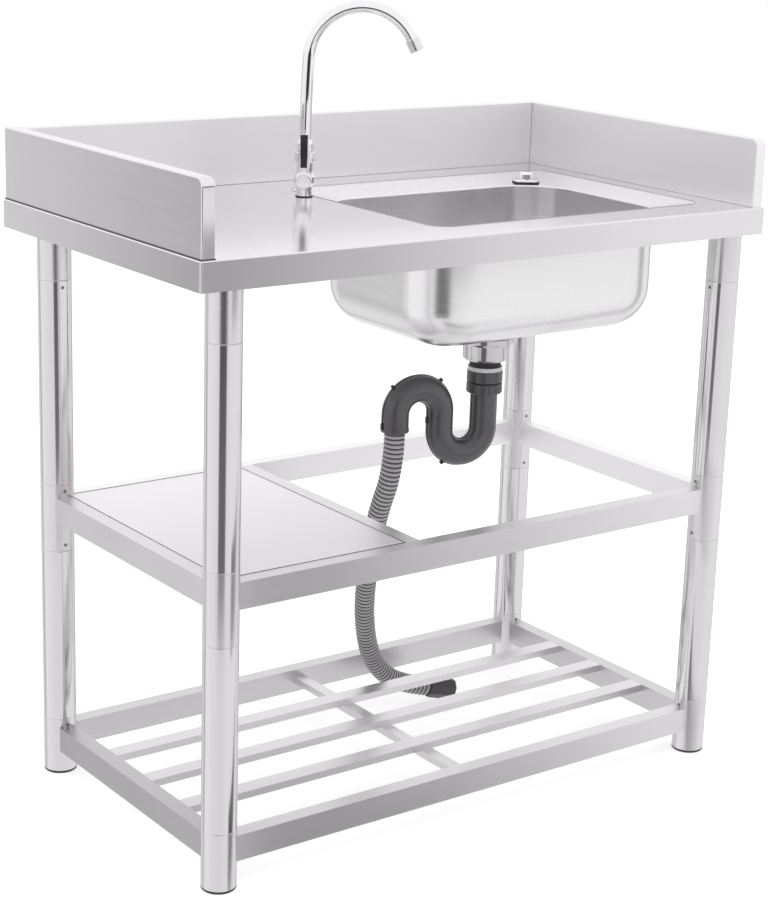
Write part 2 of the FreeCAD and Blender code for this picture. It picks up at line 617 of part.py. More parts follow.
def spout_wire(spout_way, start_z, tip):
    """Upright bearing, slightly leaning riser, arch and short straight tip in the spout's plane."""
    foot = V(TAP_X, TAP_Y, start_z)
    bearing = V(TAP_X, TAP_Y, DECK_HEIGHT + COLLAR_LOW + COLLAR_TALL + RUN_GAP + SPOUT_SLEEVE_TALL)
    riser_radius = (DECK_HEIGHT + ARCH_HEIGHT - bearing.z) / math.sin(math.radians(SPOUT_LEAN))

    def bend(start, radius, first, last):
        """Point reached on a bend between two directions, both in degrees from upright."""
        a, b = math.radians(first), math.radians(last)
        return start + (spout_way * (math.cos(a) - math.cos(b)) + UP * (math.sin(b) - math.sin(a))) * radius

    halfway = (SPOUT_LEAN + ARCH_SWEEP) / 2
    spring = bend(bearing, riser_radius, 0, SPOUT_LEAN)
    end = bend(spring, ARCH_RADIUS, SPOUT_LEAN, ARCH_SWEEP)
    sweep = math.radians(ARCH_SWEEP)
    end_way = spout_way * math.sin(sweep) + UP * math.cos(sweep)
    edges = [Part.makeLine(foot, bearing),
             Part.Arc(bearing, bend(bearing, riser_radius, 0, SPOUT_LEAN / 2), spring).toShape(),
             Part.Arc(spring, bend(spring, ARCH_RADIUS, SPOUT_LEAN, halfway), end).toShape(),
             Part.makeLine(end, end + end_way * tip)]
    return Part.Wire(edges), end + end_way * tip, end_way


def make_spout(spout_way):
    tail = DECK_HEIGHT + COLLAR_LOW - SPOUT_TAIL
    wire, end, end_way = spout_wire(spout_way, tail, SPOUT_TIP)
    outer, inner = (
        wire.makePipeShell([Part.Wire(Part.Circle(V(TAP_X, TAP_Y, tail), UP, radius).toShape())], True, False)
        for radius in (SPOUT_RADIUS, SPOUT_RADIUS - SPOUT_WALL)
    )
    low = DECK_HEIGHT + COLLAR_LOW + COLLAR_TALL + RUN_GAP
    high = low + SPOUT_SLEEVE_TALL
    sleeve = turned(((SPOUT_RADIUS - 0.5, low), (TAP_BODY_RADIUS, low), (TAP_BODY_RADIUS, high - 6),
                     (SPOUT_RADIUS + 0.8, high), (SPOUT_RADIUS - 0.5, high)), TAP_X, TAP_Y)
    return outer.fuse(sleeve).cut(inner)


def make_aerator(spout_way):
    """Nozzle screwed over the spout's tip, with a water way."""
    wire, end, end_way = spout_wire(spout_way, DECK_HEIGHT, SPOUT_TIP)
    start = end - end_way * (SPOUT_TIP - 1)
    tip = start + end_way * AERATOR_LENGTH
    body = lying_rod(AERATOR_RADIUS, start, tip)
    rims = [e for e in body.Edges if isinstance(e.Curve, Part.Circle)]
    body = body.makeFillet(0.8, rims)
    body = body.cut(lying_rod(SPOUT_RADIUS + THREAD_FIT, start - end_way, end))
    return body.cut(lying_rod(SPOUT_RADIUS - 2, end - end_way, tip + end_way))


def hex_nut(radius, across_flats, z0, z1, x, y):
    return prism(6, across_flats, z0, z1, x, y).cut(rod(radius + THREAD_FIT, z0 - 1, z1 + 1, x, y))


# ---------------------------------------------------------------- spare hole
def seat_height(x, y):
    """Height of the well's sloping face at one place."""
    needle = Part.makeLine(V(x, y, SKIRT_LOW), V(x, y, DECK_HEIGHT + 1))
    touch = needle.common(well_body(DECK_HEIGHT, RIM_HEIGHT))
    return touch.BoundBox.ZMin


def make_cap(seat):
    flange = seat + CAP_LIFT
    knob = flange + CAP_FLANGE_TALL
    top = knob + CAP_KNOB_TALL
    profile = (
        (0, seat - CAP_STUD_LENGTH), (CAP_STUD_RADIUS, seat - CAP_STUD_LENGTH), (CAP_STUD_RADIUS, flange),
        (CAP_FLANGE_RADIUS, flange), (CAP_FLANGE_RADIUS, flange + 1.2), (CAP_FLANGE_RADIUS - 2, knob),
        (CAP_KNOB_RADIUS, knob), (CAP_KNOB_RADIUS, top - 3.5), (CAP_KNOB_RADIUS - 1.2, top - 1.2),
        (CAP_KNOB_RADIUS - 4, top), (0, top),
    )
    return turned(profile, CAP_X, CAP_Y)


def make_cap_washer(seat, worktop):
    """Rubber washer that is pressed to the well's slope."""
    hole = CAP_STUD_RADIUS + TAP_HOLE_CLEARANCE
    body = ring(CAP_FLANGE_RADIUS + 0.5, hole, seat - 4, seat + CAP_LIFT, CAP_X, CAP_Y)
    parts = body.cut(worktop).Solids
    return max(parts, key=lambda solid: solid.CenterOfMass.z)


def make_cap_nut(seat, worktop):
    """Flanged nut under the sheet, its face against the slope."""
    low = seat - SHEET - CAP_NUT_THICK
    hole = CAP_STUD_RADIUS + TAP_HOLE_CLEARANCE
    body = ring(CAP_NUT_RADIUS, CAP_STUD_RADIUS + THREAD_FIT, low, seat + 2, CAP_X, CAP_Y)
    body = body.cut(rod(hole, seat - SHEET - CAP_NUT_SINK, seat + 3, CAP_X, CAP_Y))
    parts = body.cut(worktop).Solids
    return min(parts, key=lambda solid: solid.CenterOfMass.z)


# ---------------------------------------------------------------- waste
def make_drain_cup():
    """Strainer cup with its flange in the basin and the outlet neck below."""
    seat = DRAIN_SEAT_UNDER + SHEET
    rim = seat + DRAIN_FLANGE_TALL
    neck_end = CUP_BOTTOM - NECK_LENGTH
    profile = (
        (NECK_BORE, neck_end), (NECK_RADIUS, neck_end), (NECK_RADIUS, CUP_BOTTOM),
        (CUP_RADIUS - 3, CUP_BOTTOM),
        (CUP_RADIUS, CUP_BOTTOM + 3), (CUP_RADIUS, seat), (DRAIN_FLANGE_RADIUS, seat),
        (DRAIN_FLANGE_RADIUS, seat + 0.6), (DRAIN_FLANGE_RADIUS - 3, rim), (CUP_RADIUS - CUP_WALL, rim),
        (CUP_RADIUS - CUP_WALL, CUP_BOTTOM + 4), (CUP_RADIUS - CUP_WALL - 3, CUP_BOTTOM + CUP_WALL),
        (NECK_BORE, CUP_BOTTOM + CUP_WALL),
    )
    return turned(profile, DRAIN_X, DRAIN_Y)


def make_basket():
    """Lift-out strainer basket: a slotted pan that hangs from its rim, with a knob."""
    rim = DRAIN_SEAT_UNDER + SHEET + DRAIN_FLANGE_TALL
    bottom = rim - BASKET_DEPTH
    wall = 1.0
    inner = BASKET_RADIUS - 6
    pan = turned((
        (0, bottom), (inner, bottom), (BASKET_RADIUS, rim - 8), (BASKET_RADIUS, rim + RUN_GAP),
        (CUP_RADIUS + 3, rim + RUN_GAP), (CUP_RADIUS + 3, rim + RUN_GAP + wall),
        (BASKET_RADIUS - wall, rim + RUN_GAP + wall), (BASKET_RADIUS - wall, rim - 7.6),
        (inner - 0.6, bottom + wall), (0, bottom + wall)), DRAIN_X, DRAIN_Y)
    slots = []
    slot_count = 12
    for k in range(slot_count):
        slot = box(10, inner - 2, -1.5, 1.5, bottom - 1, bottom + wall + 1)
        slot.rotate(V(0, 0, 0), UP, k * 360 / slot_count)
        slot.translate(V(DRAIN_X, DRAIN_Y, 0))
        slots.append(slot)
    knob = turned(((0, bottom + 0.5), (2.5, bottom + 0.5), (2.5, rim - 6), (BASKET_KNOB_RADIUS, rim - 3),
                   (BASKET_KNOB_RADIUS, rim + 1), (BASKET_KNOB_RADIUS - 2, rim + 3), (0, rim + 3)),
                  DRAIN_X, DRAIN_Y)
    return pan.cut(Part.makeCompound(slots)).fuse(knob)


def ribbed_nut(bore, radius, z0, z1, ribs):
    """Slip nut with grip ribs, its ends chamfered."""
    chamfer = 1.2
    body = turned(((bore, z0), (radius - chamfer, z0), (radius, z0 + chamfer), (radius, z1 - chamfer),
                   (radius - chamfer, z1), (bore, z1)), DRAIN_X, DRAIN_Y)
    grooves = []
    for k in range(ribs):
        place = V(DRAIN_X, DRAIN_Y, 0) + direction(k * 360 / ribs) * (radius + 0.6)
        grooves.append(rod(1.4, z0 - 1, z1 + 1, place.x, place.y))
    return body.cut(Part.makeCompound(grooves))


def make_trap():
    """S-trap: inlet tail, lower bend, middle limb, upper bend and outlet with an inner lip."""
    along = direction(TRAP_TURN)
    inlet = V(DRAIN_X, DRAIN_Y, 0)

    def point(reach, z):
        return inlet + along * reach + UP * z

    def limb_path(start_z, end_z):
        edges = [
            Part.makeLine(point(0, start_z), point(0, TRAP_LOW)),
            Part.Arc(point(0, TRAP_LOW), point(TRAP_BEND, TRAP_LOW - TRAP_BEND),
                     point(2 * TRAP_BEND, TRAP_LOW)).toShape(),
            Part.makeLine(point(2 * TRAP_BEND, TRAP_LOW), point(2 * TRAP_BEND, TRAP_HIGH)),
            Part.Arc(point(2 * TRAP_BEND, TRAP_HIGH), point(3 * TRAP_BEND, TRAP_HIGH + TRAP_BEND),
                     point(4 * TRAP_BEND, TRAP_HIGH)).toShape(),
            Part.makeLine(point(4 * TRAP_BEND, TRAP_HIGH), point(4 * TRAP_BEND, end_z)),
        ]
        return Part.Wire(edges)

    def pipe(radius, start_z, end_z):
        start = point(0, start_z)
        circle = Part.Wire(Part.Circle(start, UP, radius).toShape())
        return limb_path(start_z, end_z).makePipeShell([circle], True, False)

    body = pipe(TRAP_RADIUS, TRAP_TOP, TRAP_OUTLET)
    water = pipe(TRAP_RADIUS - TRAP_WALL, TRAP_TOP, TRAP_OUTLET + OUTLET_LIP)
    outlet = point(4 * TRAP_BEND, 0)
    mouth = rod(HOSE_BORE, TRAP_OUTLET - 1, TRAP_OUTLET + OUTLET_LIP + 1, outlet.x, outlet.y)
    low = TRAP_OUTLET
    high = low + OUTLET_BEAD_TALL
    inner = TRAP_RADIUS - 1
    bead = turned(((inner, low), (OUTLET_BEAD_RADIUS - 0.5, low), (OUTLET_BEAD_RADIUS, low + 0.5),
                   (OUTLET_BEAD_RADIUS, high), (inner, high + 2)), outlet.x, outlet.y)
    return body.fuse(bead).cut(water).cut(mouth), point(4 * TRAP_BEND, TRAP_OUTLET)


# ---------------------------------------------------------------- hose
def route_points(start):
    points = [start, start - UP * HOSE_FIRST_RUN]
    for dx, dy, dz in HOSE_ROUTE:
        points.append(points[-1] + V(dx, dy, dz))
    return points


def route_spans(points):
    """Straight runs and tangent arcs along the route, each as (kind, length, data)."""
    runs = [points[k + 1] - points[k] for k in range(len(points) - 1)]
    ways = [V(run).normalize() for run in runs]
    spans = []
    radii = []
    here = points[0]
    for k in range(len(ways) - 1):
        turn = ways[k].getAngle(ways[k + 1])
        radius = ARC_SHARE * min(runs[k].Length, runs[k + 1].Length) / math.tan(turn / 2)
        back = radius * math.tan(turn / 2)
        start = points[k + 1] - ways[k] * back
        centre_way = V(ways[k + 1] - ways[k] * math.cos(turn)).normalize()
        spans.append(("line", (start - here).Length, (here, ways[k])))
        spans.append(("arc", radius * turn, (start, ways[k], centre_way, radius)))
        here = points[k + 1] + ways[k + 1] * back
        radii.append(radius)
    spans.append(("line", (points[-1] - here).Length, (here, ways[-1])))
    return spans, radii


def along_route(spans, distance):
    """Place and direction at a distance along the route."""
    for kind, length, data in spans:
        if distance > length + 1e-9 and (kind, length, data) != spans[-1]:
            distance -= length
            continue
        if kind == "line":
            start, way = data
            return start + way * distance, way
        start, way, side, radius = data
        angle = distance / radius
        place = start + way * radius * math.sin(angle) + side * radius * (1 - math.cos(angle))
        return place, way * math.cos(angle) + side * math.sin(angle)


def route_circle(spans, distance, radius):
    """Circle square to the route, its first point kept towards +Y."""
    place, way = along_route(spans, distance)
    steady = V(0, 1, 0)
    across = V(steady - way * steady.dot(way)).normalize()
    side = way.cross(across)
    placement = FreeCAD.Placement(place, FreeCAD.Rotation(across, side, way, "ZXY"))
    circle = Part.Wire(Part.Circle(V(0, 0, 0), UP, radius).toShape())
    circle.Placement = placement
    return circle


def route_wire(spans):
    edges = []
    for kind, length, data in spans:
        if kind == "line":
            start, way = data
            edges.append(Part.makeLine(start, start + way * length))
            continue
        start, way, side, radius = data
        middle, finish = (
            start + way * radius * math.sin(angle) + side * radius * (1 - math.cos(angle))
            for angle in (length / radius / 2, length / radius)
        )
        edges.append(Part.Arc(start, middle, finish).toShape())
    return Part.Wire(edges)


def make_hose(start):
    """Ribbed hose from the trap's outlet to its end fitting, with its bore."""
    spans, radii = route_spans(route_points(start))
    length = sum(span[1] for span in spans)
    plain_end = RIB_MARGIN
    count = int((length - 2 * plain_end) // RIB_PITCH)
    pitch = (length - 2 * plain_end) / count
    profile = [(0.0, HOSE_ROOT)]
    for k in range(count):
        at = plain_end + k * pitch
        for share, radius in ((0.1, HOSE_ROOT), (0.3, HOSE_CREST), (0.7, HOSE_CREST), (0.9, HOSE_ROOT)):
            profile.append((at + share * pitch, radius))
    profile.append((length, HOSE_ROOT))
    outer = Part.makeLoft([route_circle(spans, at, radius) for at, radius in profile], True, True)
    bore = route_wire(spans).makePipeShell([route_circle(spans, 0.0, HOSE_BORE)], True, False)
    hose = outer.cut(bore)
    report_hose(hose, spans, radii, length, count)
    finish, way = along_route(spans, length)
    return hose, finish, way


def report_hose(hose, spans, radii, length, count):
    """Print the bend radii, the least gap to itself and the volume against section times length."""
    section = math.pi * (((HOSE_CREST + HOSE_ROOT) / 2) ** 2 - HOSE_BORE ** 2)
    steps = 200
    samples = [along_route(spans, length * k / steps)[0] for k in range(steps + 1)]
    gaps = []
    for i in range(steps + 1):
        for j in range(i + 1, steps + 1):
            if (j - i) * length / steps > 4 * HOSE_CREST:
                gaps.append((samples[i] - samples[j]).Length - 2 * HOSE_CREST)
    print("hose length %.1f, ribs %d, least self-gap %.1f" % (length, count, min(gaps)))
    print("hose bend radii " + ", ".join("%.0f" % radius for radius in radii))
    print("hose volume %.0f, section times length %.0f" % (hose.Volume, section * length))


def make_hose_end(start, way):
    """Eight-sided end fitting with a bore and a stop face for the hose."""
    corner = FITTING_FLATS / 2 / math.cos(math.pi / 8)
    side = way.cross(UP).normalize()
    rise = side.cross(way)

    def octagon(at, scale):
        points = []
        for k in range(9):
            angle = math.pi / 8 + k * math.pi / 4
            points.append(at + (side * math.cos(angle) + rise * math.sin(angle)) * corner * scale)
        return Part.makePolygon(points)

    end = start + way * FITTING_LENGTH
    chamfer = 3.0
    body = Part.makeLoft([octagon(start, 0.94), octagon(start + way * chamfer, 1.0),
                          octagon(end - way * chamfer, 1.0), octagon(end, 0.94)], True, True)
    return body.cut(lying_rod(FITTING_BORE, start - way, end + way))


# ---------------------------------------------------------------- build
worktop = make_worktop()
save("worktop", worktop)
save("guard_left", make_side_guard(-1))
save("guard_right", make_side_guard(1))
save("guard_back", make_back_guard())
save("basin", make_basin())

for corner_name in LEGS:
    save("leg_socket_" + corner_name, make_socket(corner_name))
    save("upper_leg_" + corner_name, leg_tube(corner_name, MID_SLEEVE_TOP, SOCKET_LOW, True, False))
    save("mid_sleeve_" + corner_name, make_sleeve(corner_name, MID_SLEEVE_LOW, MID_SLEEVE_TOP))
    save("lower_leg_" + corner_name, leg_tube(corner_name, LOW_SLEEVE_TOP, MID_SLEEVE_LOW, True, True))
    save("low_sleeve_" + corner_name, make_sleeve(corner_name, FOOT_HEIGHT, LOW_SLEEVE_TOP))
save("feet", make_feet())
save("set_screws", make_set_screws())

for rail_place in ("front", "back", "left", "right"):
    save("mid_rail_" + rail_place, make_rail(rail_place, MID_RAIL_TOP))
    save("low_rail_" + rail_place, make_rail(rail_place, LOW_RAIL_TOP))
INNER_FRONT = LEG_FRONT_Y + RAIL_HALF
INNER_BACK = LEG_BACK_Y - RAIL_HALF
save("mid_cross_bar", hollow_bar(MID_BAR_X - RAIL_HALF, MID_BAR_X + RAIL_HALF, INNER_FRONT, INNER_BACK,
                                 MID_RAIL_TOP - RAIL_TALL, MID_RAIL_TOP, "y"))
save("mid_shelf_panel", make_panel())
low_grid = [hollow_bar(LOW_CROSS_X - LOW_CROSS_WIDTH / 2, LOW_CROSS_X + LOW_CROSS_WIDTH / 2,
                       INNER_FRONT, INNER_BACK, LOW_RAIL_TOP - BAR_TALL - LOW_CROSS_TALL,
                       LOW_RAIL_TOP - BAR_TALL, "y")]
for bar_y in BAR_PLACES:
    low_grid.append(hollow_bar(-LEG_X + RAIL_HALF, LEG_X - RAIL_HALF, bar_y - BAR_WIDTH / 2,
                               bar_y + BAR_WIDTH / 2, LOW_RAIL_TOP - BAR_TALL, LOW_RAIL_TOP, "x"))
save("low_shelf_grid", Part.makeCompound(low_grid))

SPOUT_WAY = direction(TAP_TURN)
HUB_WAY = direction(TAP_TURN - 90)
save("tap_gasket", ring(TAP_BODY_RADIUS + 0.6, SHANK_RADIUS + SLIDE_FIT, DECK_HEIGHT,
                        DECK_HEIGHT + GASKET_THICK, TAP_X, TAP_Y))
save("tap_body", make_tap_body(HUB_WAY))
save("tap_cartridge", make_cartridge(HUB_WAY))
save("tap_lever", make_lever(HUB_WAY))
save("tap_collar", make_collar())
save("tap_spout", make_spout(SPOUT_WAY))
save("tap_aerator", make_aerator(SPOUT_WAY))
save("tap_back_nut", hex_nut(SHANK_RADIUS, NUT_ACROSS_FLATS, DECK_UNDER - NUT_THICK, DECK_UNDER,
                             TAP_X, TAP_Y))

CAP_SEAT = seat_height(CAP_X, CAP_Y)
save("hole_cap", make_cap(CAP_SEAT))
save("hole_cap_washer", make_cap_washer(CAP_SEAT, worktop))
save("hole_cap_nut", make_cap_nut(CAP_SEAT, worktop))

save("drain_cup", make_drain_cup())
save("drain_basket", make_basket())
save("drain_gasket", ring(LOCK_RING_RADIUS, CUP_RADIUS + SLIDE_FIT, DRAIN_SEAT_UNDER - UNDER_GASKET,
                          DRAIN_SEAT_UNDER, DRAIN_X, DRAIN_Y))
ring_top = DRAIN_SEAT_UNDER - UNDER_GASKET
save("drain_lock_ring", turned(((CUP_RADIUS + THREAD_FIT, ring_top - LOCK_RING_TALL),
                                (LOCK_RING_RADIUS - 2.5, ring_top - LOCK_RING_TALL),
                                (LOCK_RING_RADIUS, ring_top - LOCK_RING_TALL + 3),
                                (LOCK_RING_RADIUS, ring_top), (CUP_RADIUS + THREAD_FIT, ring_top)),
                               DRAIN_X, DRAIN_Y))
seal_low = CUP_BOTTOM - SEAL_TALL
washer_low = seal_low - WASHER_TALL
upper_low = washer_low - UPPER_NUT_TALL
lower_top = upper_low - NUT_GAP
save("outlet_seal", ring(SEAL_RADIUS, NECK_RADIUS + THREAD_FIT, seal_low, CUP_BOTTOM, DRAIN_X, DRAIN_Y))
save("outlet_washer", ring(WASHER_RADIUS, NECK_RADIUS + THREAD_FIT, washer_low, seal_low, DRAIN_X, DRAIN_Y))
save("slip_nut_upper", ribbed_nut(NECK_RADIUS + THREAD_FIT, SLIP_NUT_RADIUS, upper_low, washer_low, 8))
save("slip_nut_lower", ribbed_nut(NECK_RADIUS + THREAD_FIT, SLIP_NUT_RADIUS, lower_top - LOWER_NUT_TALL,
                                  lower_top, 16))
trap, hose_start = make_trap()
save("trap", trap)
hose_solid, hose_finish, hose_way = make_hose(hose_start)
save("drain_hose", hose_solid)
save("hose_end", make_hose_end(hose_finish, hose_way))
print("drain axis %.2f %.2f, trap outlet %s" % (DRAIN_X, DRAIN_Y, hose_start))
print("cap seat %.2f" % CAP_SEAT)
print("hose route " + ", ".join("(%.1f, %.1f, %.1f)" % tuple(p) for p in route_points(hose_start)))
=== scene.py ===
import math

import bpy
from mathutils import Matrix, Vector


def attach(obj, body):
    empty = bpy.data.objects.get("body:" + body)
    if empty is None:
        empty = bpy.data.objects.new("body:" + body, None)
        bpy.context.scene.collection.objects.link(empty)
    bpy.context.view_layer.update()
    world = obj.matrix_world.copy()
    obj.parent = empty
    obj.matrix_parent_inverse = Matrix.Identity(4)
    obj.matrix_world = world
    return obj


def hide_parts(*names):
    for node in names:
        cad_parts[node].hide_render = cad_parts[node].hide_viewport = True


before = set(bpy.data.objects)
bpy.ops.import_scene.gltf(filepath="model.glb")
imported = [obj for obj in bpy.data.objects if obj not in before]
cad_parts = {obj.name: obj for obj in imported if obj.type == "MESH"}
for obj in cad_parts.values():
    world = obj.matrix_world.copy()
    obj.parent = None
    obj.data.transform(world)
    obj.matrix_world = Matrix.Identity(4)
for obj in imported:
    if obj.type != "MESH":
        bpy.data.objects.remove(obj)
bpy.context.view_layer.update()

# ------------------------------------------------------------------ camera
# The photograph was taken from the front left, a little above the worktop, with the camera
# leaning slightly. The lens follows from the fitted focal length of 2081 pixels.
photo_height, focal_pixels = 898, 2081.0
camera_data = bpy.data.cameras.new("photo_camera")
camera = bpy.data.objects.new("photo_camera", camera_data)
bpy.context.scene.collection.objects.link(camera)
bpy.context.scene.camera = camera
camera_data.sensor_width = 36.0
camera_data.lens = focal_pixels * camera_data.sensor_width / photo_height
camera.location = (-1.64817, -2.23337, 1.23570)
looking_at = Vector((0.0137, 0.0206, 0.450))
lean = math.radians(1.8)
gaze = (looking_at - camera.location).to_track_quat("-Z", "Y").to_matrix().to_4x4()
turn = gaze.Rotation(lean, 4, "Z")
camera.rotation_mode = "QUATERNION"
camera.rotation_quaternion = (gaze @ turn).to_quaternion()
camera_data.clip_end = 60.0


# ------------------------------------------------------------------ waste hose
# Ribbed hose of soft grey plastic, pushed on the trap's outlet. It hangs down through the open
# shelf bay, bends forward over the floor behind the rear bar and ends in its fitting.
class Value:
    """A value inside a finish's node tree, so that shader maths reads as an expression."""

    def __init__(self, finish, socket):
        self.finish = finish
        self.socket = socket

    def maths(self, operation, *values):
        return self.finish.node("Math", {"operation": operation}, *values)

    def __add__(self, other):
        return self.maths("ADD", self, other)

    def __radd__(self, other):
        return self.maths("ADD", other, self)

    def __sub__(self, other):
        return self.maths("SUBTRACT", self, other)

    def __rsub__(self, other):
        return self.maths("SUBTRACT", other, self)

    def __mul__(self, other):
        return self.maths("MULTIPLY", self, other)

    def __truediv__(self, other):
        return self.maths("DIVIDE", self, other)


class Finish:
    """A surface finish or the studio's light, built node by node."""

    def __init__(self, name, block=None):
        self.block = block or bpy.data.materials.new(name)
        self.block.use_nodes = True
        self.tree = self.block.node_tree
        self.tree.nodes.clear()

    def node(self, kind, settings=None, *values, output=0, **named):
        """Add a node: its settings first, then the values or links of its sockets."""
        made = self.tree.nodes.new("ShaderNode" + kind)
        for key, setting in (settings or {}).items():
            if key == "stops":
                stops = made.color_ramp.elements
                stops.remove(stops[1])
                for place, level in setting:
                    stop = stops.new(place) if place > 0 else stops[0]
                    stop.color = (level, level, level, 1.0)
            else:
                setattr(made, key, setting)
        sockets = list(zip(range(len(values)), values))
        sockets += [(key.replace("_", " "), value) for key, value in named.items()]
        for key, value in sockets:
            if value is None:
                continue
            if isinstance(value, Value):
                self.tree.links.new(value.socket, made.inputs[key])
            else:
                made.inputs[key].default_value = value
        return Value(self, made.outputs[output])

    def place(self, scale):
        """Object coordinates, stretched by a scale for each axis."""
        spot = self.node("TexCoord", None, output="Object")
        return self.node("Mapping", None, Vector=spot, Scale=scale)

    def noise(self, scale, detail=2.0, stretch=(1.0, 1.0, 1.0), roughness=0.5):
        """Grey noise between 0 and 1, with its features per metre along each axis."""
        return self.node("TexNoise", None, Vector=self.place(stretch), Scale=scale, Detail=detail,
                         Roughness=roughness)

    def within(self, axis, low, high):
        """One between two planes across an axis, and nothing outside them."""
        spot = self.node("TexCoord", None, output="Object")
        along = self.node("SeparateXYZ", None, spot, output=axis)
        return self.node("Math", {"operation": "COMPARE"}, along, (low + high) / 2, (high - low) / 2)

    def mixed(self, share, dark, light):
        """Colour between two, by a share between 0 and 1."""
        made = self.tree.nodes.new("ShaderNodeMix")
        made.data_type = "RGBA"
        self.tree.links.new(share.socket, made.inputs[0])
        for key, colour in ((6, dark), (7, light)):
            if isinstance(colour, Value):
                self.tree.links.new(colour.socket, made.inputs[key])
            else:
                made.inputs[key].default_value = (*colour, 1.0)
        return Value(self, made.outputs[2])

    def bump(self, height, distance, normal=None):
        return self.node("Bump", None, Strength=1.0, Distance=distance, Height=height, Normal=normal)

    def finish(self, **sockets):
        shader = self.node("BsdfPrincipled", None, **sockets)
        end = self.tree.nodes.new("ShaderNodeOutputMaterial")
        self.tree.links.new(shader.socket, end.inputs["Surface"])
        return self.block


def moulded_plastic(name, dark, light, roughness, grain=900.0, blotch=30.0, depth=0.00004, gloss=0.45):
    """Moulded plastic: a faint mottle, uneven gloss and a fine eroded grain."""
    make = Finish(name)
    cloud = make.noise(blotch, 4.0)
    fine = make.noise(grain, 2.0)
    colour = make.mixed(cloud * 0.7 + fine * 0.3, dark, light)
    return make.finish(Base_Color=colour, Roughness=roughness - 0.08 + cloud * 0.1 + fine * 0.06,
                       Normal=make.bump(fine, depth), Specular_IOR_Level=gloss)


def deselect():
    bpy.ops.object.select_all(action="DESELECT")


hose_plastic = moulded_plastic("hose_plastic", (0.24, 0.233, 0.24), (0.40, 0.39, 0.40), 0.36,
                               blotch=60.0)
# The darker plastic in the hose's grooves is painted shade.
painted_groove_shade = moulded_plastic("painted_groove_shade", (0.04, 0.039, 0.04), (0.12, 0.117, 0.12), 0.55,
                                 blotch=60.0)
hose_points = [
    (-0.0021, -0.0242, 0.4884),
    (-0.0021, -0.0242, 0.4344),
    (-0.0066, 0.0038, 0.3620),
    (0.0069, 0.0378, 0.2900),
    (0.0244, 0.0728, 0.2050),
    (0.0449, 0.0948, 0.1460),
    (0.0649, 0.1088, 0.1035),
    (0.0897, 0.1173, 0.0701),
    (0.1292, 0.1198, 0.0396),
    (0.1769, 0.1118, 0.0276),
]
hose_crest, hose_root, hose_bore, rib_pitch = 0.0147, 0.0122, 0.0120, 0.0065
route = bpy.data.curves.new("hose_route", "CURVE")
route.dimensions = "3D"
line = route.splines.new("NURBS")
line.points.add(len(hose_points) - 1)
for knot, spot in zip(line.points, hose_points):
    knot.co = (*spot, 1.0)
line.order_u = 3
line.use_endpoint_u = True
line.resolution_u = 24
route_object = bpy.data.objects.new("hose_route", route)
bpy.context.scene.collection.objects.link(route_object)
route_mesh = bpy.data.meshes.new_from_object(route_object)
followed = [vertex.co.copy() for vertex in route_mesh.vertices]
bpy.data.objects.remove(route_object)
reach = [0.0]
for near, far in zip(followed, followed[1:]):
    reach.append(reach[-1] + (far - near).length)
hose_length = reach[-1]


def on_hose(distance):
    """Place and direction at a distance along the hose."""
    k = 1
    last = len(followed) - 1
    while k < last and reach[k] < distance:
        k += 1
    share = (distance - reach[k - 1]) / (reach[k] - reach[k - 1])
    way = (followed[k] - followed[k - 1]).normalized()
    before = (followed[k - 1] - followed[k - 2]).normalized() if k > 1 else way
    after = (followed[k + 1] - followed[k]).normalized() if k < last else way
    blended = (before + way).lerp(way + after, share).normalized()
    return followed[k - 1].lerp(followed[k], share), blended


plain_end = 0.0025
rib_count = int((hose_length - 2 * plain_end) / rib_pitch)
rib_step = (hose_length - 2 * plain_end) / rib_count
# One rib as shares of its step and of its height. The steps in groove_steps lie in the groove.
rib_profile = ((0.0, 0.0), (0.12, 0.0), (0.19, 0.72), (0.32, 0.95),
               (0.50, 1.0), (0.68, 0.95), (0.81, 0.72), (0.88, 0.0))
groove_steps = (0, 1, 7)
rings = [(0.0, hose_root), (plain_end * 0.9, hose_root)]
first_rib = len(rings)
for k in range(rib_count):
    start = plain_end + k * rib_step
    for share, height in rib_profile:
        rings.append((start + share * rib_step, hose_root + (hose_crest - hose_root) * height))
rings += [(hose_length - plain_end * 0.9, hose_root), (hose_length, hose_root)]
outside_rings = len(rings)
inner_steps = 60
rings += [(hose_length * (inner_steps - k) / inner_steps, hose_bore) for k in range(inner_steps + 1)]
sides = 32
vertices, faces = [], []
for distance, radius in rings:
    middle, way = on_hose(distance)
    across = (Vector((0, 1, 0)) - way * way.y).normalized()
    other = way.cross(across)
    for k in range(sides):
        angle = 2 * math.pi * k / sides
        vertices.append(middle + (across * math.cos(angle) + other * math.sin(angle)) * radius)
for ring in range(len(rings) - 1):
    for k in range(sides):
        a, b = ring * sides + k, ring * sides + (k + 1) % sides
        faces.append((a, b, b + sides, a + sides))
for k in range(sides):
    last = (len(rings) - 1) * sides
    b = (k + 1) % sides
    faces.append((last + k, last + b, b, k))
hose_mesh = bpy.data.meshes.new("ribbed_hose")
hose_mesh.from_pydata(vertices, [], faces)
hose_mesh.polygons.foreach_set("use_smooth", [True] * len(faces))
hose_mesh.materials.append(hose_plastic)
hose_mesh.materials.append(painted_groove_shade)
# Faces in the grooves take the darker plastic, as painted shade.
for face in hose_mesh.polygons:
    ring = face.vertices[0] // sides
    on_ribs = first_rib <= ring < outside_rings - 2
    if on_ribs and (ring - first_rib) % len(rib_profile) in groove_steps:
        face.material_index = 1
ribbed_hose = bpy.data.objects.new("ribbed_hose", hose_mesh)
bpy.context.scene.collection.objects.link(ribbed_hose)
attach(ribbed_hose, "table")
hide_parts("drain_hose")


def dress(finish, *names):
    """Give a finish to CAD pieces."""
    for name in names:
        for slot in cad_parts[name].material_slots:
            slot.material = finish


dress(moulded_plastic("fitting_plastic", (0.040, 0.038, 0.042), (0.065, 0.062, 0.067), 0.40),
      "hose_end")
